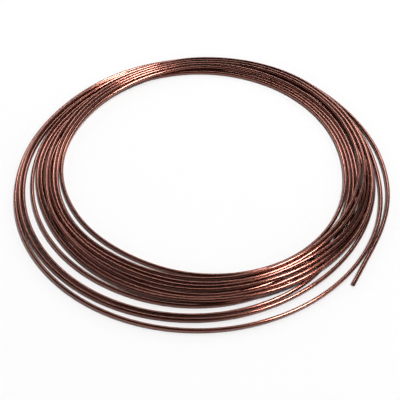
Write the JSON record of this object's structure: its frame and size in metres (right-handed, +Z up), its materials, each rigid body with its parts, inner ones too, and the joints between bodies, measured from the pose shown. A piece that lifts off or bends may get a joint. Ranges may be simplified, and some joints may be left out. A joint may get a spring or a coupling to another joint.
{
  "type": "copper tube coil",
  "caption": "Flat coil of small soft copper tube, sprung slightly open, with loose outer turns and a straight open end.",
  "frame": {"origin": "on the floor, at the centre of the outermost turn, which is the middle of the overall box", "axes": "+Z up, square to the flat coil; +Y the back, where the turns lie closest together; the straight open end is at the front right"},
  "size_m": [0.3012, 0.3011, 0.0057],
  "materials": {
    "copper": "bare annealed copper, browned by handling, semi-bright with drawing lines along the tube"
  },
  "bodies": {
    "root": {"tube_coil": "copper"}
  },
  "joints": []
}
